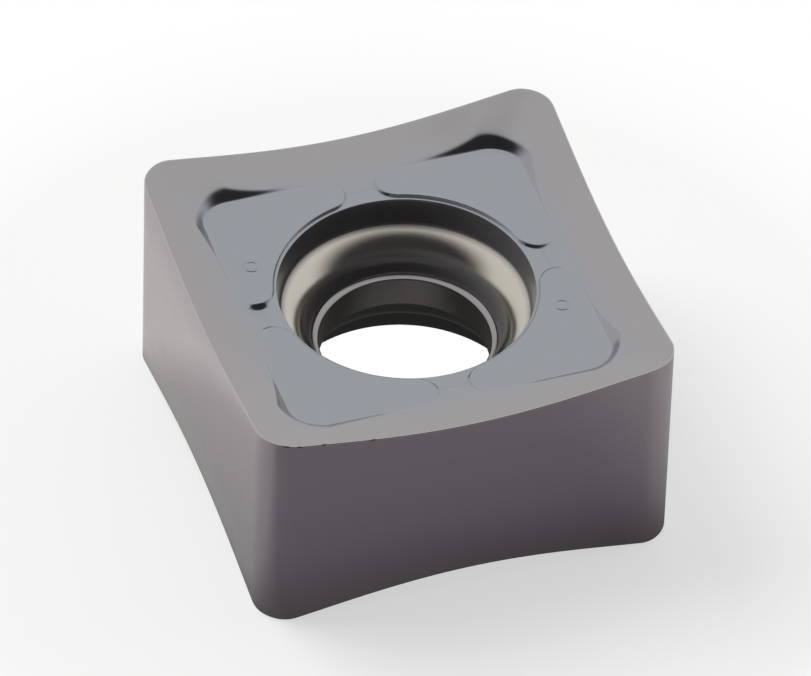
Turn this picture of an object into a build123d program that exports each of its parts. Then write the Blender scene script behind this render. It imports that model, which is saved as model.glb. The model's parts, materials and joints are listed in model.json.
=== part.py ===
from build123d import *
import os
from math import hypot, radians, sqrt, tan

# A double-sided square milling insert: one sintered blank of cemented carbide.
# Frame: origin at the centre of the blank, +Z along the screw hole, sides along X and Y.
# Every size is in millimetres. The lower face is the mirror image of the upper one.

# Outline of the blank
INSCRIBED_CIRCLE = 12.70      # width across the ground flanks
NOSE_RADIUS = 1.05            # plan radius of the four cutting corners

# Cutting edge: it dips in a concave arc between the corners
EDGE_HEIGHT = 2.92            # edge above the mid-plane, halfway along a side
EDGE_RISE = 0.66              # gain in height from there to the sharp corner
EDGE_EASING = 0.60            # how strongly the arc eases off towards the corner

# Chip face: it falls inwards from the cutting edge to the floor round the hole
CHIP_FACE_WIDTH = 1.92        # from the cutting edge to the floor, square to the side
CORNER_BLEND = 2.80           # rounding of the chip face across the diagonals
FLOOR_HEIGHT = 2.56           # level floor round the hole, above the mid-plane
CHIP_FACE_STATIONS = 33       # points each way that carry the chip face

# Seating pads: four level lands, one under each corner
PAD_HEIGHT = 2.66             # pads above the mid-plane
PAD_SIDE = 4.92               # outer side of a pad from the hole axis
PAD_GAP = 1.06                # between the ends of neighbouring pads
PAD_CORNER_RADIUS = 0.93      # rounding of a pad under the cutting corner
PAD_END_RADIUS = 0.50         # rounding of a pad at the outer corner of each end
PAD_TIP_RADIUS = 0.46         # rounding of a pad where its end meets the hole
PAD_LEDGE = 0.11              # from the mouth of the hole out to the pads
PAD_WALL_ANGLE = 45.0         # slope of the walls up to the chip face and down to the floor
PAD_INNER_WALL_ANGLE = 15.0   # slope of the inner wall, which stands steeper
PAD_WALL_ROOT = 0.05          # how far the pads reach below the floor

# Screw hole: a short bore between two rounded seats
BORE_DIAMETER = 5.10
BORE_LENGTH = 1.00
RING_WIDTH = 0.20             # narrow shelf between the bore and the seat, along the radius
RING_DEPTH = 0.04             # and along the axis
SEAT_RADIUS = 1.21            # rounding that carries the screw, upright where it leaves the ring
MOUTH_CONE_ANGLE = 15.0       # included angle of the upper wall
MOUTH_DIAMETER = 7.60         # hole at the floor

# Index rings: a low raised ring on each of two opposite pads
MARK_INSET = 0.82             # from the outer side of the pad to the ring's centre
MARK_ACROSS = 2.09            # from the hole axis to that centre, along the side
MARK_RADIUS = 0.20            # middle of the ring's wall
MARK_WIDTH = 0.08
MARK_HEIGHT = 0.025

HALF = INSCRIBED_CIRCLE / 2
HEADROOM = EDGE_HEIGHT + EDGE_RISE
QUARTER_TURNS = (0, 90, 180, 270)


def side_reach(x, y):
    """The larger of |x| and |y|, rounded across the diagonals."""
    return sqrt((x**2 + y**2 + hypot(x**2 - y**2, CORNER_BLEND**2)) / 2)


def chip_face_height(x, y):
    """Height of the chip face over a point of the plan."""
    reach = side_reach(x, y)
    share = (x * y / reach**2) ** 2
    rise = EDGE_RISE * ((1 + EDGE_EASING) * share - EDGE_EASING * share**2)
    outwards = 1 - (HALF - reach) / CHIP_FACE_WIDTH
    return FLOOR_HEIGHT + (EDGE_HEIGHT + rise - FLOOR_HEIGHT) * outwards


def outline():
    """Plan of the blank: a square with rounded cutting corners."""
    return RectangleRounded(INSCRIBED_CIRCLE, INSCRIBED_CIRCLE, NOSE_RADIUS)


def chip_space():
    """Everything above the chip face, which is one smooth surface over the whole plan."""
    reach = HALF + NOSE_RADIUS
    last = CHIP_FACE_STATIONS - 1
    stations = [reach * (2 * i / last - 1) for i in range(CHIP_FACE_STATIONS)]
    grid = [[Vector(x, y, chip_face_height(x, y)) for y in stations] for x in stations]
    chip_face = Face.make_surface_from_array_of_points(grid, tol=0.001, min_deg=3, max_deg=5)
    return Solid.extrude(chip_face, (0, 0, HEADROOM))


def pad_outline(step=0.0):
    """Plan of the pad in the first quadrant, as its walls stand a step above or below it."""
    grow = step * tan(radians(PAD_WALL_ANGLE))
    end = PAD_GAP / 2 - grow
    side = PAD_SIDE + grow
    hole = MOUTH_DIAMETER / 2 + PAD_LEDGE - step * tan(radians(PAD_INNER_WALL_ANGLE))
    start = sqrt(hole**2 - end**2)
    middle = hole / sqrt(2)
    # The roundings at a pad's end share the length between the hole and the outer side
    end_radius = min(PAD_END_RADIUS + grow, 0.50 * (side - start))
    tip_radius = min(PAD_TIP_RADIUS, 0.45 * (side - start))
    sides = Polyline((start, end), (side, end), (side, side), (end, side), (end, start))
    plan = make_face(sides + ThreePointArc((end, start), (middle, middle), (start, end)))
    roundings = (
        (PAD_CORNER_RADIUS + grow, (side, side)),
        (end_radius, (side, end)),
        (end_radius, (end, side)),
        (tip_radius, (start, end)),
        (tip_radius, (end, start)),
    )
    for radius, corner in roundings:
        vertex = plan.vertices().sort_by_distance((*corner, 0))[0]
        plan = fillet(vertex, radius)
    return plan


def pad_frustum(height):
    """Pad with sloped walls, from its own level to another height, wider there."""
    level = Pos(0, 0, PAD_HEIGHT) * pad_outline()
    foot = Pos(0, 0, height) * pad_outline(abs(height - PAD_HEIGHT))
    return loft([level, foot], ruled=True)


def index_ring():
    """Raised ring in the first quadrant, rooted in the pad."""
    plan = Circle(MARK_RADIUS + MARK_WIDTH / 2) - Circle(MARK_RADIUS - MARK_WIDTH / 2)
    root = PAD_HEIGHT - MARK_HEIGHT
    return Pos(MARK_ACROSS, PAD_SIDE - MARK_INSET, root) * extrude(plan, 2 * MARK_HEIGHT)


def hole_half():
    """Upper half of the screw hole: bore, ring, rounded seat, upper wall and mouth."""
    bore = BORE_DIAMETER / 2
    ring = bore + RING_WIDTH
    ring_top = BORE_LENGTH / 2 + RING_DEPTH
    mouth = MOUTH_DIAMETER / 2
    wall = tan(radians(MOUTH_CONE_ANGLE / 2))
    top = FLOOR_HEIGHT + HEADROOM
    lower = Polyline(
        (0, 0),
        (bore, 0),
        (bore, BORE_LENGTH / 2),
        (ring, ring_top),
        (0, ring_top),
        close=True,
    )
    upper = Polyline(
        (0, ring_top),
        (mouth + wall * (ring_top - FLOOR_HEIGHT), ring_top),
        (mouth + wall * HEADROOM, top),
        (0, top),
        close=True,
    )
    # The seat bulges into the hole, so it is cut out of the space inside the upper wall
    seat = Pos(ring + SEAT_RADIUS, ring_top) * Circle(SEAT_RADIUS)
    section = make_face(lower) + (make_face(upper) - seat)
    return revolve(Plane.XZ * section, Axis.Z)


def upper_half():
    """Everything above the mid-plane."""
    body = extrude(outline(), HEADROOM) - chip_space()
    body += extrude(outline(), FLOOR_HEIGHT)
    for turn in QUARTER_TURNS:
        body += Rot(0, 0, turn) * pad_frustum(FLOOR_HEIGHT - PAD_WALL_ROOT)
        body -= Rot(0, 0, turn) * pad_frustum(HEADROOM)
    body += Rot(0, 0, 90) * index_ring()
    body += Rot(0, 0, 270) * index_ring()
    return body - hole_half()


def insert():
    """The whole blank, alike above and below the mid-plane."""
    upper = upper_half()
    return upper + mirror(upper, Plane.XY)


os.makedirs("parts", exist_ok=True)
blank = insert()
export_step(blank, "parts/insert.step")
corner = HALF - NOSE_RADIUS * (1 - sqrt(0.5))
print("thickness at the corners", round(2 * chip_face_height(corner, corner), 3))
print("volume", round(blank.volume, 2), "solids", len(blank.solids()))
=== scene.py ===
# %% [markdown]
# # A square milling insert of coated carbide
#
# The object is one small blank, 12.7 mm square, that a face mill clamps by a screw through its middle.
# Powder was pressed to this form, sintered hard, ground round the sides and then coated in vacuum.
# This lesson dresses the exact solid: it rebuilds the skin as a fine mesh that follows the same rules,
# gives every zone of it a finish, and lights it as a small shiny thing on a white table is lit.
#
# The imported solid comes first, and its box is kept for the sizes and the table.

# %% The frame
import bpy
import json
from math import asin, cos, radians, sin, sqrt, tan
from mathutils import Matrix, Vector


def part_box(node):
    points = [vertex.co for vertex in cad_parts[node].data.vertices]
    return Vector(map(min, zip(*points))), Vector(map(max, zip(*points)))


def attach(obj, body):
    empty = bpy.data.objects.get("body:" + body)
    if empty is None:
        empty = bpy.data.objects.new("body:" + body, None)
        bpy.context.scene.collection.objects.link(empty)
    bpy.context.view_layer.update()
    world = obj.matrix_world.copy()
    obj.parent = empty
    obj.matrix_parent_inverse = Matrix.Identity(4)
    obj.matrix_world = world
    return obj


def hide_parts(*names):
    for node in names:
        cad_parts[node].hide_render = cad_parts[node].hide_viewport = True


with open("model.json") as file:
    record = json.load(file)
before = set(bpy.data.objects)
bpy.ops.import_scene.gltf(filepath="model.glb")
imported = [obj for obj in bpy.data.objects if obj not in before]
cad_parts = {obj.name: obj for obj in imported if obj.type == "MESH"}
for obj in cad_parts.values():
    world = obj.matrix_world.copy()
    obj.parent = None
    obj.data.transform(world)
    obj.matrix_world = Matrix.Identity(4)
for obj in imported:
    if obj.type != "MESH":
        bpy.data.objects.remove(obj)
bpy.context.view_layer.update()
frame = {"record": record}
low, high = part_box("insert")
print("solid measures", [round((b - a) * 1000, 2) for a, b in zip(low, high)], "mm")

# %% [markdown]
# ## Sizes
#
# Four sizes are read from the frame, so they can't drift: the width from the solid's box, and the bore's
# radius and length and the height of the pads from the mounts. The others are the maker's own. Lengths
# are in millimetres and angles in degrees. RATIOS names the one size that is a plain number.

# %% Sizes of the blank
MM = 0.001
mounts = {mount["name"]: mount for mount in frame["record"]["mounts"]}
bore_radius = mounts["screw_hole"]["dims"]["r_mm"]
bore_length = mounts["screw_hole"]["dims"]["length_mm"]
pad_height = mounts["upper_pads"]["pos_m"][2] / MM
half_width = high[0] / MM

FACE_SIZES = {
    "Half Width": half_width,
    "Nose Radius": 1.05,
    "Edge Height": 2.92,
    "Edge Rise": 0.66,
    "Edge Easing": 0.60,
    "Edge Hone": 0.035,
    "Chip Face Width": 1.92,
    "Corner Blend": 2.80,
    "Floor Height": 2.56,
    "Pad Height": pad_height,
    "Pad Side": 4.92,
    "Pad Gap": 1.06,
    "Pad Corner Radius": 0.93,
    "Pad End Radius": 0.50,
    "Pad Tip Radius": 0.46,
    "Pad Ledge": 0.12,
    "Wall Rounding": 0.05,
    "Pad Edge Rounding": 0.020,
}
HOLE_SIZES = {
    "Bore Radius": bore_radius,
    "Bore Length": bore_length,
    "Ring Width": 0.20,
    "Ring Depth": 0.04,
    "Seat Radius": 1.21,
    "Mouth Radius": 3.80,
    "Mouth Rounding": 0.03,
}
ALL_SIZES = {**FACE_SIZES, **HOLE_SIZES}
PAD_INNER_WALL_ANGLE = 15.0
MOUTH_CONE_ANGLE = 15.0
RATIOS = ("Edge Easing",)
print(len(ALL_SIZES), "named sizes")

# %% [markdown]
# ## Sums written as sums
#
# Shaders and Geometry Nodes do their arithmetic in Math nodes, and twenty of those are hard to read.
# Two small classes let a formula be typed as it is spoken. `Graph` adds a node, its settings and what
# feeds it. `Number` is a socket that knows how to be added to, so `1 - mask` adds the node by itself.

# %% A graph and its numbers
class Graph:
    """One node tree, with one short way to add any node."""

    def __init__(self, tree):
        self.tree = tree

    def node(self, kind, settings, inputs):
        """Add a node: settings first, then a value or a link for each socket that is named."""
        added = self.tree.nodes.new(kind)
        for name, setting in settings.items():
            setattr(added, name, setting)
        for name, given in inputs.items():
            self.feed(added.inputs[name], given)
        return added

    def feed(self, socket, given):
        """Give a socket a plain value, a Number or another node's socket."""
        if isinstance(given, Number):
            given = given.socket
        if isinstance(given, bpy.types.NodeSocket):
            self.tree.links.new(given, socket)
        else:
            socket.default_value = given

    def number(self, kind, settings, inputs, output=0):
        """Add a node and return one of its outputs as a Number."""
        return Number(self, self.node(kind, settings, inputs).outputs[output])

    def math(self, operation, *terms):
        """Add a Math node."""
        return self.number("ShaderNodeMath", {"operation": operation}, dict(enumerate(terms)))


class Number:
    """A number on a socket. Arithmetic on it adds Math nodes to its graph."""

    def __init__(self, graph, socket):
        self.graph = graph
        self.socket = socket

    def __add__(self, other):
        return self.graph.math("ADD", self, other)

    def __sub__(self, other):
        return self.graph.math("SUBTRACT", self, other)

    def __mul__(self, other):
        return self.graph.math("MULTIPLY", self, other)

    def __truediv__(self, other):
        return self.graph.math("DIVIDE", self, other)

    def __rsub__(self, other):
        return self.graph.math("SUBTRACT", other, self)

    def __rtruediv__(self, other):
        return self.graph.math("DIVIDE", other, self)

    def __neg__(self):
        return self.graph.math("MULTIPLY", self, -1.0)

    def __abs__(self):
        return self.graph.math("ABSOLUTE", self)

    __radd__ = __add__
    __rmul__ = __mul__


def larger(a, b):
    """The larger of two numbers, the first of them on a socket."""
    return a.graph.math("MAXIMUM", a, b)


def smaller(a, b):
    """The smaller of two numbers, the first of them on a socket."""
    return a.graph.math("MINIMUM", a, b)


def root(a):
    """Square root."""
    return a.graph.math("SQRT", a)


def length(a, b):
    """Length of a step of a along one axis and b along the other."""
    return root(a * a + b * b)


def blended_smaller(a, b, rounding):
    """The smaller of two numbers, with the corner between them rounded."""
    return (a + b - length(a - b, rounding)) / 2


def blended_larger(a, b, rounding):
    """The larger of two numbers, with the corner between them rounded."""
    return (a + b + length(a - b, rounding)) / 2


def fade(a, start, end):
    """A mask that goes smoothly from 0 at start to 1 at end."""
    settings = {"interpolation_type": "SMOOTHSTEP", "clamp": True}
    return a.graph.number("ShaderNodeMapRange", settings, {"Value": a, "From Min": start, "From Max": end})


def blend(a, b, share):
    """Go from a to b as share goes from 0 to 1."""
    return a + (b - a) * share


def stations(position, stops):
    """A value that is given at some positions and runs straight between them."""
    total = stops[0][1]
    for (start, value), (end, next_value) in zip(stops, stops[1:]):
        inputs = {"Value": position, "From Min": start, "From Max": end, "To Max": next_value - value}
        total = position.graph.number("ShaderNodeMapRange", {"clamp": True}, inputs) + total
    return total


print("Graph and Number are ready")

# %% [markdown]
# ## The height of the chip face
#
# A chip slides inwards over this face. Seen from the side the cutting edge hangs in an arc, low in the
# middle and high at the corners. The rule of the part gives the height over any point of the plan:
# how far out the point lies, times how high the edge is there. The four pads are level lands. Where the
# face is lower they stand up from it, and under the corners they are sunk into it, both with walls of
# about 45 degrees. So the face is squeezed between two heights that open up with the distance from the
# pad. The walls stand a little steeper round a pad's outer corner, and much steeper along the hole.
# Beside the pads the chip face rises a little less than at the cutting edge. One pad has a small dent
# beside its end, as on the insert in the photograph. All this could be sculpted by hand, but a formula
# keeps the four corners exactly alike.

# %% Chip face and pads as formulas
RISE_BESIDE_PADS = [(0.0, 0.3), (0.2, 0.55), (0.5, 1.10)]
RISE_IN_FULL = (0.35, 1.1)
PAD_CORNER_WALL_ANGLE = 36.0
TINY = 1e-12


def side_reach(x, y, size):
    """The larger of |x| and |y|, rounded across the diagonals."""
    return root((x * x + y * y + length(x * x - y * y, size["Corner Blend"] * size["Corner Blend"])) / 2)


def chip_face_height(x, y, size):
    """Height of the chip face before the pads are pressed into it."""
    reach = side_reach(x, y, size)
    diagonal = x * y / (reach * reach)
    share = diagonal * diagonal
    easing = size["Edge Easing"]
    rise = size["Edge Rise"] * ((easing + 1) * share - easing * share * share)
    outwards = 1 - (size["Half Width"] - reach) / size["Chip Face Width"]
    rise = rise * blend(stations(share, RISE_BESIDE_PADS), 1, fade(outwards, *RISE_IN_FULL))
    return size["Floor Height"] + (size["Edge Height"] + rise - size["Floor Height"]) * outwards


def rounded_corner(a, b, radius):
    """Distance out of the corner where a and b turn negative, rounded to a radius."""
    inside = smaller(larger(a + radius, b + radius), 0)
    return inside + length(larger(a + radius, 0), larger(b + radius, 0)) - radius


def corner_distance(a, b, radius):
    """Distance out of a pad's outer corner, where the wall stands steeper than beside it."""
    from_a = larger(a + radius, 0)
    from_b = larger(b + radius, 0)
    share = 2 * from_a * from_b / (from_a * from_a + from_b * from_b + TINY)
    steeper = 1 / tan(radians(PAD_CORNER_WALL_ANGLE)) - 1
    return rounded_corner(a, b, radius) * (share * steeper + 1)


def tip_distance(inner, end, radius):
    """Distance from a pad's tip, where the wall turns from the steep inner one to the sloped end."""
    from_inner = larger(inner + radius, 0)
    from_end = larger(end + radius, 0)
    share = from_inner * from_inner / (from_inner * from_inner + from_end * from_end + TINY)
    steeper = 1 / tan(radians(PAD_INNER_WALL_ANGLE)) - 1
    return rounded_corner(inner, end, radius) * (share * steeper + 1)


def pad_distance(x, y, size):
    """Distance from the nearest pad, negative on it, larger where a wall is steeper than 45 degrees."""
    along = larger(abs(x), abs(y))
    across = smaller(abs(x), abs(y))
    end = size["Pad Gap"] / 2 - across
    inner = size["Mouth Radius"] + size["Pad Ledge"] - length(x, y)
    corner = corner_distance(along - size["Pad Side"], across - size["Pad Side"], size["Pad Corner Radius"])
    far_end = rounded_corner(along - size["Pad Side"], end, size["Pad End Radius"])
    return larger(larger(corner, far_end), tip_distance(inner, end, size["Pad Tip Radius"]))


def face_height(x, y, size):
    """Height of the finished face: chip face, floor and pads."""
    wall = blended_larger(pad_distance(x, y, size), 0, size["Pad Edge Rounding"])
    rounding = smaller(wall, size["Wall Rounding"])
    fold = size["Pad Edge Rounding"]
    face = blended_larger(chip_face_height(x, y, size), size["Floor Height"], fold)
    raised = blended_larger(face, size["Pad Height"] - wall, rounding)
    return blended_smaller(raised, size["Pad Height"] + wall, rounding)


DENT_PLACE = (-4.48, 0.35)
DENT_HALF_WIDTH = 0.62
DENT_REACH_BACK, DENT_REACH_FRONT = 0.20, 0.95
DENT_DEPTH = 0.09


def dent(x, y, height):
    """Depth of the small dent beside the end of one pad, on the upper face only."""
    across = (x - DENT_PLACE[0] * MM) / (DENT_HALF_WIDTH * MM)
    along = (y - DENT_PLACE[1] * MM) / MM
    along = larger(along / DENT_REACH_BACK, -along / DENT_REACH_FRONT)
    on_top = fade(height, 0.0, MM)
    return DENT_DEPTH * MM * fade(length(across, along), 1.0, 0.0) * on_top


print("face formulas are ready")

# %% [markdown]
# ## A net of columns and rings
#
# The skin is one closed net, like the mesh bag on a bundle of garlic. Its rings start halfway up the
# ground sides, climb over the cutting edge, cross the face, dive into the hole and end halfway down it,
# and the lower half mirrors them. Out at the sides a ring is a rounded square, and at the hole a circle.
# The columns aren't spread evenly: they crowd at the ends of the pads, where the face has small steps.

# %% Where the columns and rings run
COLUMNS = 600
EIGHTH = COLUMNS / 8
PAD_END_COLUMNS = (6, 30)
PAD_END_REACH = (0.38, 1.12)
FLANK, HONE, FACE, WALLS, ENDS, PADS, LEDGE, MOUTH, KNEE, FOOT, LIP, RINGS = (
    2, 6, 17, 32, 43, 54, 60, 63, 66, 76, 80, 82)


def along_side(column):
    """Fold all columns onto one eighth: 0 at the middle of a side, EIGHTH at the diagonal."""
    quarter = column.graph.math("FLOOR", column / (2 * EIGHTH))
    within = column / EIGHTH - quarter * 2
    folded = (1 - abs(within - 1)) * EIGHTH
    return quarter, within, folded


def point_on_square(half, radius, across):
    """How far out a rounded square lies, a distance across from the middle of its side."""
    past = larger(across - (half - radius), 0)
    return half - radius + root(larger(radius * radius - past * past, 0))


def across_side(folded, diagonal):
    """Distance across from the middle of the side, for a ring that meets the diagonal there."""
    first, last = PAD_END_COLUMNS
    near, far = (reach * MM for reach in PAD_END_REACH)
    start = stations(folded, [(0, 0.0), (first, near), (last, far)])
    share = stations(folded, [(last, 0.0), (EIGHTH, 1.0)])
    return start + (diagonal - far) * share


print("net of", COLUMNS, "columns and", 2 * RINGS, "rings")

# %% [markdown]
# ## The hole
#
# The hole is alike from both faces: a short bore, a narrow shelf round it, a rounded seat that carries
# the screw, and a steep upper wall. The seat bulges into the hole. It starts upright at the shelf and is
# almost level where it meets the wall. That place is worked out here in plain Python, as the crossing of
# a circle and a line. The nodes then only choose, for each height, the wall that stands furthest in.
# The rings of the net lie close together on both sides of every sharp turn, so that smooth shading
# doesn't smear one surface over the next.

# %% Section of the hole
def hole_section():
    """Lines and places of the hole's section that follow from its sizes."""
    ring_radius = HOLE_SIZES["Bore Radius"] + HOLE_SIZES["Ring Width"]
    foot = HOLE_SIZES["Bore Length"] / 2 + HOLE_SIZES["Ring Depth"]
    radius = HOLE_SIZES["Seat Radius"]
    centre = ring_radius + radius
    wall = tan(radians(MOUTH_CONE_ANGLE / 2))
    wall_foot = HOLE_SIZES["Mouth Radius"] - wall * FACE_SIZES["Floor Height"]
    room = centre - wall_foot - wall * foot
    steep = 1 + wall * wall
    rise = (room * wall + sqrt((room * wall) ** 2 - steep * (room**2 - radius**2))) / steep
    return {"wall": wall, "wall foot": wall_foot * MM, "centre": centre * MM,
            "foot": foot * MM, "knee": (foot + rise) * MM, "knee turn": asin(rise / radius)}


section = hole_section()
print("the seat runs from", round(section["foot"] / MM, 2), "to", round(section["knee"] / MM, 2), "mm up")

# %% [markdown]
# The hole could be turned from a profile with a Screw modifier and joined on. Here it belongs to the
# same net as the face, so there is no seam at its mouth. Two formulas do that: the radius of the hole at
# a height, and the height of each ring inside it.

# %% The hole as a formula
RING_GAPS = (0.008, 0.02, 0.03)


def hole_radius(z, size):
    """Radius of the hole at a height above the mid-plane."""
    bore = size["Bore Radius"]
    shelf = bore + (z - size["Bore Length"] / 2) * (size["Ring Width"] / size["Ring Depth"])
    rise = larger(z - section["foot"], 0)
    seat = section["centre"] - root(larger(size["Seat Radius"] * size["Seat Radius"] - rise * rise, 0))
    wall = z * section["wall"] + section["wall foot"]
    return smaller(smaller(larger(shelf, bore), seat), wall)


def hole_height(ring, size):
    """Height of each ring of the net inside the hole."""
    hair, near, mid = (gap * MM for gap in RING_GAPS)
    lip = size["Bore Length"] / 2
    mouth = size["Floor Height"] - size["Mouth Rounding"]
    knee = section["knee"]
    foot = section["foot"]
    on_wall = stations(ring, [
        (MOUTH, mouth), (MOUTH + 1, mouth - near), (KNEE - 1, knee + 2 * mid), (KNEE, knee + mid)])
    turn = stations(ring, [(KNEE + 1, section["knee turn"] - radians(2.5)), (FOOT, radians(1.5))])
    on_seat = foot + size["Seat Radius"] * ring.graph.math("SINE", turn)
    below = stations(ring, [
        (FOOT, foot + mid), (FOOT + 1, foot - hair), (LIP - 2, lip + hair),
        (LIP - 1, lip), (LIP, lip - mid), (RINGS, 0.0)])
    past_knee = ring.graph.math("GREATER_THAN", ring, KNEE + 0.5)
    past_foot = ring.graph.math("GREATER_THAN", ring, FOOT + 0.5)
    return blend(blend(on_wall, on_seat, past_knee), below, past_foot)


print("hole formulas are ready")

# %% [markdown]
# ## Building the net in Geometry Nodes
#
# The whole skin follows one rule, so one tree makes it. It starts from a flat grid whose points have
# whole-number places: across is the column, up is the ring. The tree reads those two numbers, works out
# where the point belongs on the insert, and moves it there. The grid's edges then lie on each other, and
# Merge by Distance closes them. All sizes are named inputs of the tree.

# %% Inputs of a tree and the finished mesh
def named_inputs(tree, sizes):
    """Give a tree a named input for each size, in metres, and return them as Numbers."""
    tree.interface.new_socket("Geometry", in_out="OUTPUT", socket_type="NodeSocketGeometry")
    for name, size in sizes.items():
        socket = tree.interface.new_socket(name, in_out="INPUT", socket_type="NodeSocketFloat")
        socket.default_value = size if name in RATIOS else size * MM
    graph = Graph(tree)
    group = graph.node("NodeGroupInput", {}, {})
    return graph, {name: Number(graph, group.outputs[name]) for name in sizes}


def finish_tree(graph, geometry, material):
    """Close a tree: realize its instances, smooth them and give them their material."""
    real = graph.node("GeometryNodeRealizeInstances", {}, {"Geometry": geometry})
    smooth = graph.node("GeometryNodeSetShadeSmooth", {}, {"Geometry": real.outputs[0]})
    inputs = {"Geometry": smooth.outputs[0], "Material": material}
    dressed = graph.node("GeometryNodeSetMaterial", {}, inputs)
    graph.node("NodeGroupOutput", {}, {"Geometry": dressed.outputs[0]})


def grown_mesh(name, tree, sizes, material):
    """Run a tree on an empty object and keep the result as a plain mesh."""
    piece = bpy.data.objects.new(name, bpy.data.meshes.new(name + "_seed"))
    bpy.context.collection.objects.link(piece)
    modifier = piece.modifiers.new("grow", "NODES")
    modifier.node_group = tree
    for item in tree.interface.items_tree:
        if item.in_out == "INPUT":
            modifier[item.identifier] = sizes[item.name] * (1 if item.name in RATIOS else MM)
    bpy.context.view_layer.update()
    evaluated = piece.evaluated_get(bpy.context.evaluated_depsgraph_get())
    mesh = bpy.data.meshes.new_from_object(evaluated)
    mesh.name = name
    piece.modifiers.remove(modifier)
    piece.data = mesh
    mesh.materials.clear()
    mesh.materials.append(material)
    return piece


print("tree helpers are ready")

# %% [markdown]
# The rings take their form from what they run along. On the sides and the outer face they are squares
# with rounded corners, which shrink towards the pads. From the ends of the pads on they turn into
# circles. Most of them lie close to the pads' walls, where the face bends most.

# %% The net's rings
BESIDE_WALLS = 0.52
ON_WALLS = 0.06
FIRST_COLLAR = 0.045


def towards_pads(ring, distance):
    """How far the square rings have come inwards, with most of them close to the pads' outer walls."""
    return stations(ring, [
        (HONE, 0.0), (FACE, distance - BESIDE_WALLS * MM), (WALLS, distance + ON_WALLS * MM),
        (ENDS, distance + BESIDE_WALLS * MM)])


def ring_plan(ring, folded, size):
    """Place of a net point in its eighth of the plan: along the side's normal, and across it."""
    turn = stations(ring, [(FLANK, 0.0), (HONE, radians(90))])
    inset = size["Edge Hone"] * (1 - ring.graph.math("COSINE", turn))
    inwards = size["Half Width"] - size["Edge Hone"] - size["Pad Side"]
    tighter = size["Nose Radius"] - size["Edge Hone"] - size["Pad Corner Radius"]
    half = size["Half Width"] - inset - towards_pads(ring, inwards)
    radius = size["Nose Radius"] - inset - towards_pads(ring, tighter)
    square_across = across_side(folded, half - radius * (1 - sqrt(0.5)))
    square_along = point_on_square(half, radius, square_across)
    circle = circle_radius(ring, size)
    circle_across = across_side(folded, circle * sqrt(0.5))
    circle_along = root(circle * circle - circle_across * circle_across)
    round_share = stations(ring, [(ENDS, 0.0), (PADS, 1.0)])
    return blend(square_along, circle_along, round_share), blend(square_across, circle_across, round_share)


def mouth_turn(ring):
    """Angle round the small rounding at the mouth of the hole."""
    return stations(ring, [(LEDGE, 0.0), (MOUTH, radians(90))])


def circle_radius(ring, size):
    """Radius of a round ring, on the face and in the hole."""
    mouth = size["Mouth Radius"]
    rounding = size["Mouth Rounding"]
    first = mouth + size["Pad Ledge"] + FIRST_COLLAR * MM
    collar = stations(ring, [(PADS, first), (LEDGE, mouth + rounding)])
    collar = collar - rounding * ring.graph.math("SINE", mouth_turn(ring))
    in_hole = ring.graph.math("GREATER_THAN", ring, MOUTH + 0.5)
    return blend(collar, hole_radius(hole_height(ring, size), size), in_hole)


def ring_height(ring, x, y, size):
    """Height of a net point above the mid-plane."""
    turn = stations(ring, [(FLANK, 0.0), (HONE, radians(90))])
    drop = size["Edge Hone"] * (1 - ring.graph.math("SINE", turn))
    climb = stations(ring, [(0, 0.0), (FLANK, 1.0)])
    outside = climb * (face_height(x, y, size) - drop)
    dive = size["Mouth Rounding"] * ring.graph.math("COSINE", mouth_turn(ring))
    inside = hole_height(ring, size) + dive
    return blend(outside, inside, ring.graph.math("GREATER_THAN", ring, LEDGE + 0.5))


print("ring formulas are ready")

# %% [markdown]
# The tree itself is short, because the formulas carry the form. It works in one eighth of the plan and
# turns the result to its quarter. Modelling an eighth and using Mirror modifiers would do too, but then
# the dent, which is on one pad only, would need a step of its own.

# %% The skin's tree
def skin_tree(sizes, material):
    """Geometry Nodes tree of the insert's skin."""
    tree = bpy.data.node_groups.new("insert_skin", "GeometryNodeTree")
    graph, size = named_inputs(tree, sizes)
    grid = graph.node("GeometryNodeMeshGrid", {}, {
        "Size X": COLUMNS, "Size Y": 2 * RINGS, "Vertices X": COLUMNS + 1, "Vertices Y": 2 * RINGS + 1})
    place = graph.node("GeometryNodeInputPosition", {}, {})
    place = graph.node("ShaderNodeSeparateXYZ", {}, {0: place.outputs[0]})
    column = graph.math("ROUND", Number(graph, place.outputs["X"]) + COLUMNS / 2)
    row = graph.math("ROUND", place.outputs["Y"])
    ring = abs(row)
    quarter, within, folded = along_side(column)
    along, across = ring_plan(ring, folded, size)
    swapped = graph.math("GREATER_THAN", within, 1.0)
    x = blend(along, across, swapped)
    y = blend(across, along, swapped)
    height = ring_height(ring, x, y, size) * graph.math("SIGN", row)
    turn = graph.math("MODULO", quarter, 4.0) * radians(90)
    cosine = graph.math("COSINE", turn)
    sine = graph.math("SINE", turn)
    x, y = x * cosine - y * sine, x * sine + y * cosine
    point = graph.node("ShaderNodeCombineXYZ", {}, {"X": x, "Y": y, "Z": height - dent(x, y, height)})
    moved = graph.node("GeometryNodeSetPosition", {}, {
        "Geometry": grid.outputs[0], "Position": point.outputs[0]})
    closed = graph.node("GeometryNodeMergeByDistance", {}, {
        "Geometry": moved.outputs[0], "Distance": 0.001 * MM})
    finish_tree(graph, closed.outputs[0], material)
    return tree


print("skin tree is ready")

# %% [markdown]
# ## Index rings
#
# Two pads carry a tiny raised ring each, on the upper and on the lower face, as an index mark. The rings
# are so low that they show as faint lines. One ring is swept and put on four points, as an instance
# until the last step makes it real.

# %% The index rings' tree
MARK_SIZES = {
    "Ring Radius": 0.20,
    "Ring Thickness": 0.060,
    "Ring Level": pad_height - 0.040,
    "Ring Along": 4.10,
    "Ring Across": 2.09,
}


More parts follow.
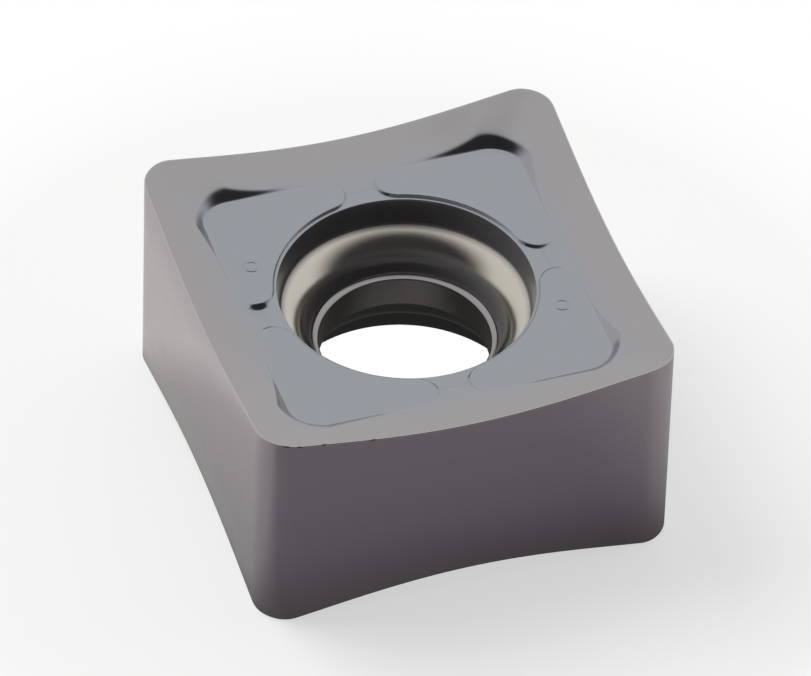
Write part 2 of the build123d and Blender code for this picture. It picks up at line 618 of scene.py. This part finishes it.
def mark_tree(sizes, material):
    """Geometry Nodes tree of the four index rings."""
    tree = bpy.data.node_groups.new("index_rings", "GeometryNodeTree")
    graph, size = named_inputs(tree, sizes)
    line = graph.node("GeometryNodeMeshLine", {"mode": "OFFSET"}, {"Count": 4})
    index = Number(graph, graph.node("GeometryNodeInputIndex", {}, {}).outputs[0])
    side = graph.math("MODULO", index, 2.0) * 2 - 1
    face = graph.math("GREATER_THAN", index, 1.5) * 2 - 1
    spot = graph.node("ShaderNodeCombineXYZ", {}, {
        "X": side * size["Ring Along"], "Y": -side * size["Ring Across"], "Z": face * size["Ring Level"]})
    points = graph.node("GeometryNodeSetPosition", {}, {
        "Geometry": line.outputs[0], "Position": spot.outputs[0]})
    path = graph.node("GeometryNodeCurvePrimitiveCircle", {}, {
        "Resolution": 48, "Radius": size["Ring Radius"]})
    profile = graph.node("GeometryNodeCurvePrimitiveCircle", {}, {
        "Resolution": 10, "Radius": size["Ring Thickness"]})
    swept = graph.node("GeometryNodeCurveToMesh", {}, {
        "Curve": path.outputs[0], "Profile Curve": profile.outputs[0]})
    placed = graph.node("GeometryNodeInstanceOnPoints", {}, {
        "Points": points.outputs[0], "Instance": swept.outputs[0]})
    finish_tree(graph, placed.outputs[0], material)
    return tree


print("index ring tree is ready")

# %% [markdown]
# ## The coating
#
# The blank is covered with a hard film a few thousandths of a millimetre thick. It behaves as a dark
# metal: it has no colour of its own apart from how it tints what it mirrors. The film is mauve grey on
# the sides and the outer face and turns blue grey towards the hole. Inside the hole little film gets to
# the walls, so they are dull, and their dark tone is painted shade. A bright band on the seat is a painted
# highlight, and the shelf round the bore keeps its own grey. The cutting edge is a thin light line, partly
# worn film and partly a painted highlight, with a few brown nicks near one corner. The walls of the pads
# and the fold at their foot are painted in shade.
#
# The masks are worked out from the place on the object, so the zones stay put from every side.

# %% Places on the object as masks
def places(graph):
    """Object coordinates, and the distances that the zones are cut by."""
    coordinates = graph.node("ShaderNodeTexCoord", {}, {}).outputs["Object"]
    split = graph.node("ShaderNodeSeparateXYZ", {}, {0: coordinates})
    x, y, z = (Number(graph, split.outputs[name]) for name in "XYZ")
    nose = FACE_SIZES["Nose Radius"] * MM
    corner = half_width * MM
    outline = rounded_corner(abs(x) - corner, abs(y) - corner, nose)
    return {"coordinates": coordinates, "x": x, "y": y, "z": z, "outline": outline, "radius": length(x, y)}


def cloud(graph, coordinates, size, detail=2.0, roughness=0.5, stretch=(1, 1, 1)):
    """Noise whose patches are about one size across, in millimetres."""
    scale = tuple(amount / (size * MM) for amount in stretch)
    mapping = graph.node("ShaderNodeMapping", {}, {"Vector": coordinates, "Scale": scale})
    inputs = {"Vector": mapping.outputs[0], "Scale": 1.0, "Detail": detail, "Roughness": roughness}
    return graph.number("ShaderNodeTexNoise", {}, inputs)


def zone(distance, limits):
    """A mask that goes from 0 at the first limit to 1 at the second, both in millimetres."""
    start, end = limits
    return fade(distance, start * MM, end * MM)


def tint(graph, first, second, share):
    """Go from one colour to another as share goes from 0 to 1."""
    inputs = {0: share, 6: first, 7: second}
    return graph.number("ShaderNodeMix", {"data_type": "RGBA"}, inputs, output=2)


print("masks are ready")

# %% [markdown]
# The colours of the film, its painted shade and highlights, and the limits of their zones are kept
# together here, so that the finish can be changed in one place. A painted image would do the same, but
# it would need unwrapping and would blur close up.

# %% Colours and limits of the film
MAUVE = (0.388, 0.369, 0.382, 1.0)
SIDE_MAUVE = (0.400, 0.352, 0.406, 1.0)
BLUE_GREY = (0.350, 0.378, 0.405, 1.0)
STEEL_GREY = (0.350, 0.335, 0.330, 1.0)
# Painted highlight: the bright band on the seat in the hole
SEAT_HIGHLIGHT_GREY = (0.600, 0.565, 0.500, 1.0)
# Painted shade: the walls in the hole, the pads' walls and the fold at their foot
PAINTED_SHADE_GREY = (0.215, 0.205, 0.207, 1.0)
BROWN_GREY = (0.330, 0.300, 0.300, 1.0)
# The cutting edge: its worn film, lightened further as a painted highlight
WORN_EDGE_HIGHLIGHT = (0.500, 0.485, 0.470, 1.0)
NICK_BROWN = (0.200, 0.150, 0.150, 1.0)
PAD_WALL_SHADE = 0.22
FOLD_SHADE = 0.10
EDGE_SHINE = 0.8
DULL_HOLE = 0.5
DULL_INNER_WALL = 0.6

# Limits of the zones in the hole, in millimetres: each mask is 0 at the first and 1 at the second
IN_HOLE = (3.815, 3.79)
SEAT_FROM = (1.10, 1.38)
SEAT_TO = (1.75, 1.65)
SHELF_BELOW = (0.59, 0.56)
BORE_WITHIN = (2.62, 2.57)

# Limits of the zones on the face and the sides
OUT_OF_HOLE = (3.83, 3.86)
OFF_THE_EDGE = (-0.03, -0.05)
ON_THE_EDGE = (-0.05, -0.03)
ON_THE_SIDES = (-0.03, -0.005)
UP_AT_THE_EDGE = (0.06, 0.04)
OFF_THE_PAD = (0.0, 0.015)
BEFORE_THE_FOLD = (0.01, -0.01)
AT_FLOOR_LEVEL = (0.008, 0.003)
CLEAR_OF_THE_PAD = (0.10, 0.12)
NICKS_LEFT_OF = (-2.2, -3.4)
NICKS_IN_FRONT_OF = (-6.0, -6.25)
INNER_WALL_FROM = (0.0, 0.02)
INNER_WALL_TO = (0.14, 0.10)
COLLAR_FROM = (3.85, 3.88)
COLLAR_TO = (3.98, 3.96)

# Patches of the film and the grain of its surface, as sizes in millimetres and as strengths
TINT_PATCH, TINT_PATCH_DEPTH = 1.6, 0.6
BLUE_INSIDE = (-0.35, -1.65)
NICK_SIZE = 0.30
NICK_LEVELS = (0.56, 0.62)
GRAIN_SIZE, GRAIN_ROUGHNESS = 0.06, 0.04
SHINE_PATCH, SHINE_PATCH_ROUGHNESS = 0.9, 0.08
MEAN_ROUGHNESS = 0.21
BUMP_STRENGTH, BUMP_DEPTH = 0.04, 0.004
print("film from", BORE_WITHIN[1], "mm to", half_width, "mm from the axis")

# %% [markdown]
# The material is one Principled BSDF. The masks choose the tint of each place, with its painted shade
# and highlights, and make the dull walls in and along the hole less metallic. Noise makes the shine a
# little uneven, and a very fine bump stands for the grain of the pressed powder. Separate materials for
# the zones would leave hard limits between them.

# %% The coated carbide
def hole_masks(place):
    """Painted highlight on the seat, the shelf and the bore, and the dull walls painted in shade."""
    above = abs(place["z"])
    in_hole = zone(place["radius"], IN_HOLE)
    bright = smaller(zone(above, SEAT_FROM), zone(above, SEAT_TO))
    low_down = zone(above, SHELF_BELOW)
    shelf = smaller(low_down, in_hole)
    bore = zone(place["radius"], BORE_WITHIN)
    dull = smaller(1 - larger(bright, low_down), in_hole)
    return {"in hole": in_hole, "bright": bright, "shelf": shelf, "bore": bore, "dull": dull}


def face_masks(graph, place):
    """Pad walls and folds for painted shade, the wall by the hole, the worn edge with a painted highlight.
    """
    size = {name: value if name in RATIOS else value * MM for name, value in ALL_SIZES.items()}
    distance = pad_distance(place["x"], place["y"], size)
    chip_face = chip_face_height(place["x"], place["y"], size)
    width = abs(chip_face - size["Pad Height"])
    on_face = smaller(zone(place["radius"], OUT_OF_HOLE), zone(place["outline"], OFF_THE_EDGE))
    walls = smaller(zone(distance, OFF_THE_PAD), zone(distance - width, BEFORE_THE_FOLD))
    fold = zone(abs(chip_face - size["Floor Height"]), AT_FLOOR_LEVEL)
    fold = smaller(fold, zone(distance, CLEAR_OF_THE_PAD))
    near_top = zone(chip_face - abs(place["z"]), UP_AT_THE_EDGE)
    edge = smaller(near_top, zone(place["outline"], ON_THE_EDGE))
    nicks = fade(cloud(graph, place["coordinates"], NICK_SIZE, detail=3.0), *NICK_LEVELS)
    near_nose = smaller(zone(place["x"], NICKS_LEFT_OF), zone(place["y"], NICKS_IN_FRONT_OF))
    nicks = smaller(smaller(nicks, edge), near_nose)
    inner = smaller(zone(distance, INNER_WALL_FROM), zone(distance, INNER_WALL_TO))
    collar = smaller(zone(place["radius"], COLLAR_FROM), zone(place["radius"], COLLAR_TO))
    inner = smaller(inner, collar)
    return {"walls": smaller(walls, on_face), "inner": inner, "fold": smaller(fold, on_face),
            "edge": edge, "nicks": nicks}


def coating_colour(graph, place, hole, mask):
    """Tint of the film zone by zone, with its painted shade and painted highlights."""
    patches = cloud(graph, place["coordinates"], TINT_PATCH) * TINT_PATCH_DEPTH
    towards_hole = fade(place["outline"] / MM + patches, *BLUE_INSIDE)
    face = tint(graph, MAUVE, BLUE_GREY, towards_hole)
    colour = tint(graph, face, SIDE_MAUVE, zone(place["outline"], ON_THE_SIDES))
    # Painted shade on the pads' walls and on the fold at their foot
    colour = tint(graph, colour, PAINTED_SHADE_GREY, larger(mask["walls"] * PAD_WALL_SHADE, mask["fold"] * FOLD_SHADE))
    # The worn edge, lightened as a painted highlight
    colour = tint(graph, colour, WORN_EDGE_HIGHLIGHT, mask["edge"] * EDGE_SHINE)
    colour = tint(graph, colour, NICK_BROWN, mask["nicks"])
    # In the hole: painted shade on the walls, a painted highlight on the seat, and the shelf's own grey
    inside = tint(graph, tint(graph, PAINTED_SHADE_GREY, SEAT_HIGHLIGHT_GREY, hole["bright"]), STEEL_GREY, hole["shelf"])
    colour = tint(graph, colour, inside, hole["in hole"])
    return tint(graph, colour, BROWN_GREY, hole["bore"])


def coated_carbide():
    """Material of the whole insert."""
    material = bpy.data.materials.new("coated_carbide")
    material.use_nodes = True
    graph = Graph(material.node_tree)
    shader = material.node_tree.nodes["Principled BSDF"]
    place = places(graph)
    hole = hole_masks(place)
    mask = face_masks(graph, place)
    grain = cloud(graph, place["coordinates"], GRAIN_SIZE, detail=3.0)
    patches = cloud(graph, place["coordinates"], SHINE_PATCH, detail=3.0)
    graph.feed(shader.inputs["Base Color"], coating_colour(graph, place, hole, mask))
    dull = larger(hole["dull"] * DULL_HOLE, mask["inner"] * DULL_INNER_WALL)
    graph.feed(shader.inputs["Metallic"], 1 - dull)
    patchy = (patches - 0.5) * SHINE_PATCH_ROUGHNESS
    graph.feed(shader.inputs["Roughness"], MEAN_ROUGHNESS + patchy + (grain - 0.5) * GRAIN_ROUGHNESS)
    bump = graph.node("ShaderNodeBump", {}, {
        "Strength": BUMP_STRENGTH, "Distance": BUMP_DEPTH * MM, "Height": grain})
    graph.feed(shader.inputs["Normal"], bump.outputs[0])
    return material


carbide = coated_carbide()
print("material", carbide.name)

# %% [markdown]
# ## Growing the pieces
#
# Each tree is run once, and its result is kept as a plain mesh. The skin stands for the solid and rides
# on its body.

# %% The insert's skin and its index rings
skin = grown_mesh("insert_skin", skin_tree(ALL_SIZES, carbide), ALL_SIZES, carbide)
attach(skin, "root")
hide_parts("insert")
index_rings = grown_mesh("index_rings", mark_tree(MARK_SIZES, carbide), MARK_SIZES, carbide)
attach(index_rings, "root")
print("skin has", len(skin.data.polygons), "faces, index rings", len(index_rings.data.polygons))

# %% [markdown]
# ## Floor, light and camera
#
# A dark shiny thing shows what stands round it. The photographer's side of the room is dark and the far
# side is a broad soft light, so the sky here goes from one to the other. The sides of the insert mirror
# the table. Two things are told apart there: the camera sees a pale floor with a soft shadow, and the
# insert mirrors a painted one: bright at the back left, faintly lit at the right, dim in front, and
# darkest right under it.
# The floor is washed out to white further out, and in the small patch that shows through the hole.
# Real light boxes round the insert would do the same, but they would have to be placed by trial.

# %% The table
FLOOR_REACH = 0.6
FLOOR_COLOUR = (0.80, 0.79, 0.78, 1.0)
WASH = 0.6
MIRRORED_DIM = (0.25, 0.25, 0.25, 1.0)
MIRRORED_LIT = (0.88, 0.89, 0.82, 1.0)
LIGHT_SLANT = 0.6
LIGHT_ACROSS = [
    (-8, 0.0), (-3, 0.05), (0, 0.34), (4, 0.44), (8.2, 0.56), (10.5, 1.0), (13, 0.88), (17, 0.82)]
LIGHT_AT_RIGHT = [(4.8, 0.0), (6.2, 0.07), (7.6, 0.20), (13, 0.45)]
CONTACT_SHADE = [(-1.2, 0.12), (-0.2, 0.38), (0.5, 0.52), (2.9, 0.92), (5.5, 1.10)]
HOLE_LIGHT = 0.32
HOLE_LIGHT_AWAY = 1.9
HOLE_LIGHT_FADE = (4.2, 1.2)
OPEN_SHARE, OPEN_DEPTH = 2.5, 0.8
OPEN_FROM = (-0.3, 0.2)
WHITE_FROM = (7.5, 20.0)

# The floor that shows through the hole from the photograph's side: its turn, place, size and edge
SEEN_TURN = 19.64
SEEN_AWAY = 3.70
SEEN_HALF_LENGTH = 2.75
SEEN_HALF_WIDTH = 1.45
SEEN_EDGE = (1.06, 0.98)


def mirrored_table(graph, x, y):
    """What the insert mirrors of the table: dim in front, bright at the back left, dark under it."""
    lit = larger(stations(y - LIGHT_SLANT * x, LIGHT_ACROSS), stations(x, LIGHT_AT_RIGHT))
    outline = rounded_corner(abs(x) - half_width, abs(y) - half_width, FACE_SIZES["Nose Radius"])
    through_hole = fade(length(x, y + HOLE_LIGHT_AWAY), *HOLE_LIGHT_FADE)
    # Where the floor is lit, it is shaded less beside the insert
    open_light = smaller(lit * OPEN_SHARE, 1) * fade(outline, *OPEN_FROM) * OPEN_DEPTH
    shade = blend(stations(outline, CONTACT_SHADE), 1, open_light)
    inputs = {0: tint(graph, MIRRORED_DIM, MIRRORED_LIT, lit), "Scale": shade + through_hole * HOLE_LIGHT}
    shaded = graph.node("ShaderNodeVectorMath", {"operation": "SCALE"}, inputs)
    return graph.node("ShaderNodeEmission", {}, {"Color": shaded.outputs[0], "Strength": 1.0})


def seen_through_hole(x, y):
    """The patch of floor that shows through the hole from the photograph's side."""
    turn = radians(SEEN_TURN)
    across = x * cos(turn) - y * sin(turn)
    along = x * sin(turn) + y * cos(turn) - SEEN_AWAY
    return fade(length(across / SEEN_HALF_LENGTH, along / SEEN_HALF_WIDTH), *SEEN_EDGE)


def white_table():
    """Pale floor to the camera, washed out to white in places, and the painted one to the insert."""
    material = bpy.data.materials.new("white_table")
    material.use_nodes = True
    graph = Graph(material.node_tree)
    shader = material.node_tree.nodes["Principled BSDF"]
    graph.feed(shader.inputs["Base Color"], FLOOR_COLOUR)
    graph.feed(shader.inputs["Roughness"], 0.9)
    graph.feed(shader.inputs["Specular IOR Level"], 0.1)
    split = graph.node("ShaderNodeSeparateXYZ", {}, {
        0: graph.node("ShaderNodeTexCoord", {}, {}).outputs["Object"]})
    x, y = (Number(graph, split.outputs[name]) / MM for name in "XY")
    away = fade(length(x, y), *WHITE_FROM)
    washed = larger(larger(away, seen_through_hole(x, y)), WASH)
    white = graph.node("ShaderNodeEmission", {}, {"Color": (1, 1, 1, 1), "Strength": 1.0})
    shown = graph.node("ShaderNodeMixShader", {}, {0: washed, 1: shader.outputs[0], 2: white.outputs[0]})
    seen = graph.node("ShaderNodeLightPath", {}, {}).outputs["Is Camera Ray"]
    mixed = graph.node("ShaderNodeMixShader", {}, {
        0: seen, 1: mirrored_table(graph, x, y).outputs[0], 2: shown.outputs[0]})
    output = material.node_tree.nodes["Material Output"]
    graph.feed(output.inputs["Surface"], mixed.outputs[0])
    return material


def table():
    """Flat floor under the lowest corners."""
    corners = [(-1, -1), (1, -1), (1, 1), (-1, 1)]
    mesh = bpy.data.meshes.new("table")
    mesh.from_pydata([(x * FLOOR_REACH, y * FLOOR_REACH, low[2]) for x, y in corners], [], [(0, 1, 2, 3)])
    mesh.materials.append(white_table())
    floor = bpy.data.objects.new("table", mesh)
    bpy.context.collection.objects.link(floor)
    return floor


floor = table()
print("table at", round(low[2] / MM, 3), "mm")

# %% [markdown]
# The upper face mirrors the sky, so the sky does most of the work: its bright side gives the pads their
# even tone, and its dark side draws the dark crescents at their corners. The camera sees it plain white.
# A soft sun from behind on the left draws the shadow on the floor to the front, and isn't mirrored.

# %% The sky and the sun
SKY_TURN = 15.0
SKY_LIT = (0.86, 0.86, 0.86, 1.0)
SKY_DARK = (0.045, 0.045, 0.047, 1.0)
SKY_LIGHTENS = (-0.36, 0.26)


def sky():
    """World light: a bright wall behind, the dark room of the camera in front, white to the camera."""
    world = bpy.data.worlds.new("soft_room")
    bpy.context.scene.world = world
    world.use_nodes = True
    graph = Graph(world.node_tree)
    direction = graph.node("ShaderNodeTexCoord", {}, {}).outputs["Generated"]
    split = graph.node("ShaderNodeSeparateXYZ", {}, {0: direction})
    x, y = (Number(graph, split.outputs[name]) for name in "XY")
    behind = x * sin(radians(SKY_TURN)) + y * cos(radians(SKY_TURN))
    colour = tint(graph, SKY_DARK, SKY_LIT, fade(behind, *SKY_LIGHTENS))
    seen = Number(graph, graph.node("ShaderNodeLightPath", {}, {}).outputs["Is Camera Ray"])
    background = world.node_tree.nodes["Background"]
    graph.feed(background.inputs["Color"], tint(graph, colour, (1, 1, 1, 1), seen))
    graph.feed(background.inputs["Strength"], 1.0)
    return world


def sun(strength, elevation, azimuth, softness):
    """Soft sun from a height and a direction round the object, both in degrees."""
    lamp = bpy.data.lights.new("soft_sun", "SUN")
    lamp.energy = strength
    lamp.angle = radians(softness)
    place = bpy.data.objects.new("soft_sun", lamp)
    level = cos(radians(elevation))
    towards = Vector((sin(radians(azimuth)) * level, cos(radians(azimuth)) * level, sin(radians(elevation))))
    place.rotation_euler = towards.to_track_quat("Z", "Y").to_euler()
    place.visible_glossy = False
    bpy.context.collection.objects.link(place)
    return place


sky()
sun(strength=2.4, elevation=48, azimuth=-42, softness=40)
print("lights are up")

# %% [markdown]
# Small parts are photographed from well away with a long lens, which keeps their edges nearly parallel.
# The camera stands where the photograph's edges and corners say it stood, and everything is in focus.

# %% The camera
CAMERA_TURN = -19.64
CAMERA_HEIGHT = 43.60
CAMERA_ROLL = 1.936
CAMERA_DISTANCE = 306.63 * MM
CAMERA_AIM = Vector((0.110, 0.246, 0.282)) * MM
CAMERA_LENS = 462.17


def camera():
    """Long lens at the photograph's viewing angle."""
    lens = bpy.data.cameras.new("camera")
    lens.lens = CAMERA_LENS
    lens.sensor_width = 36.0
    lens.sensor_fit = "HORIZONTAL"
    lens.clip_start = 0.01
    place = bpy.data.objects.new("camera", lens)
    level = cos(radians(CAMERA_HEIGHT))
    side = sin(radians(CAMERA_TURN)) * level
    front = -cos(radians(CAMERA_TURN)) * level
    back = Vector((side, front, sin(radians(CAMERA_HEIGHT))))
    turn = back.to_track_quat("Z", "Y").to_matrix() @ Matrix.Rotation(radians(CAMERA_ROLL), 3, "Z")
    place.matrix_world = Matrix.Translation(CAMERA_AIM + back * CAMERA_DISTANCE) @ turn.to_4x4()
    bpy.context.collection.objects.link(place)
    bpy.context.scene.camera = place
    return place


camera()
bpy.context.scene.view_settings.view_transform = "Standard"
print("camera looks down", CAMERA_HEIGHT, "degrees")
